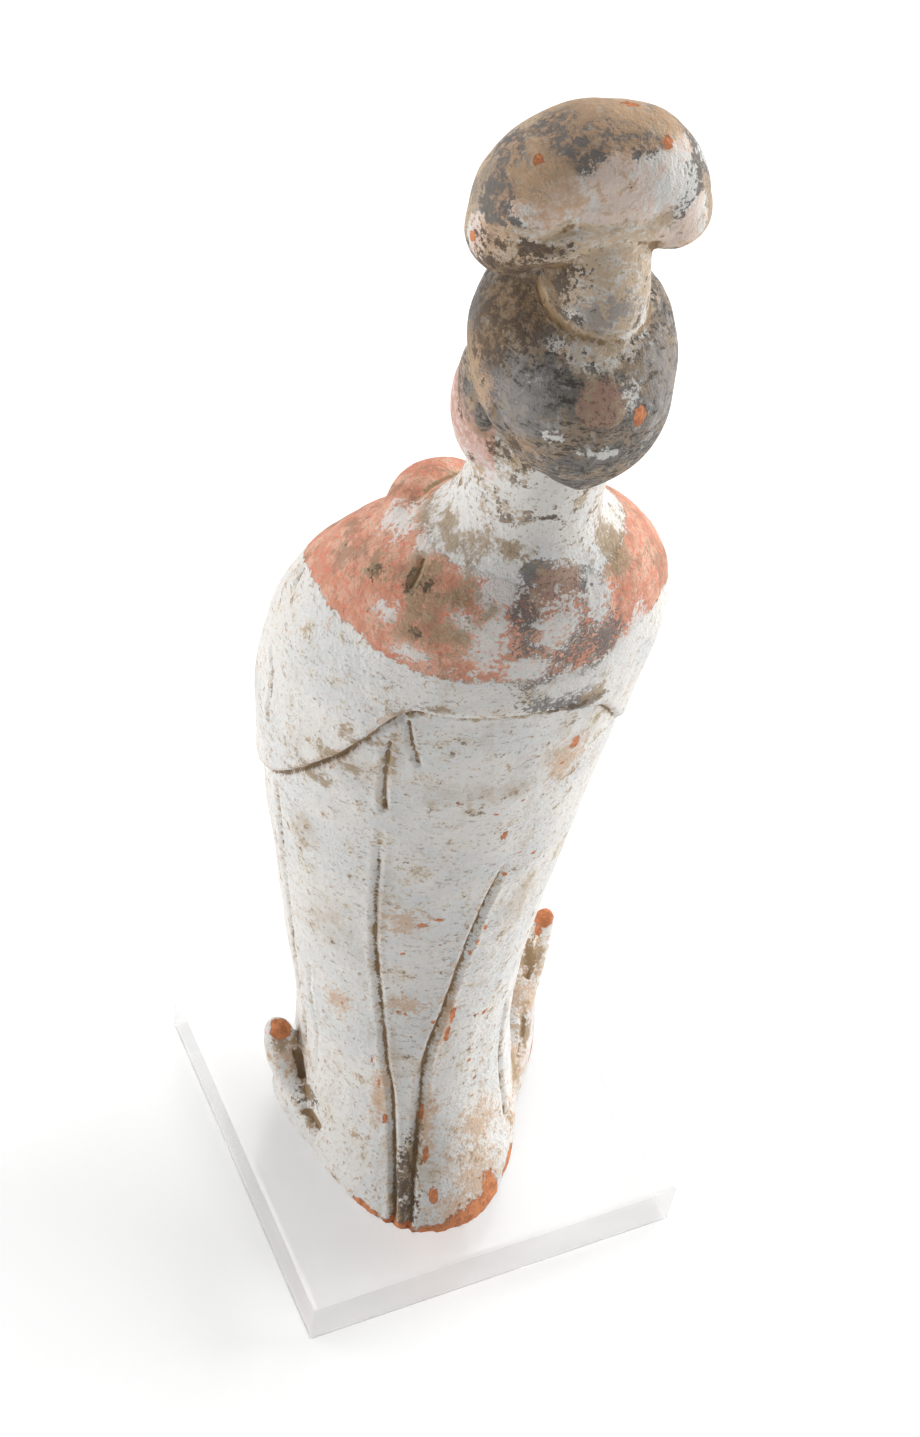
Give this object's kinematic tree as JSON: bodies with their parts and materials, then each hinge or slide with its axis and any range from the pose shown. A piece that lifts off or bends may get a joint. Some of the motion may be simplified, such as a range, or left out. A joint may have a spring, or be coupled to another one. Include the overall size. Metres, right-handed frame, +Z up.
{
  "type": "pottery court lady figure",
  "caption": "Standing pottery court lady in a robe with a red cape and a half-moon topknot, on a clear acrylic stand.",
  "frame": {"origin": "centre of the acrylic stand's underside", "axes": "+Z up through the figure; the lady faces about -Y, turned ten degrees to her right; X and Y follow the stand's sides"},
  "size_m": [0.1, 0.1, 0.3267],
  "materials": {
    "painted_pottery": "matt cold-painted earthenware with worn white slip",
    "clear_acrylic": "polished clear"
  },
  "bodies": {
    "root": {"court_lady": "painted_pottery", "acrylic_stand": "clear_acrylic"}
  },
  "joints": []
}
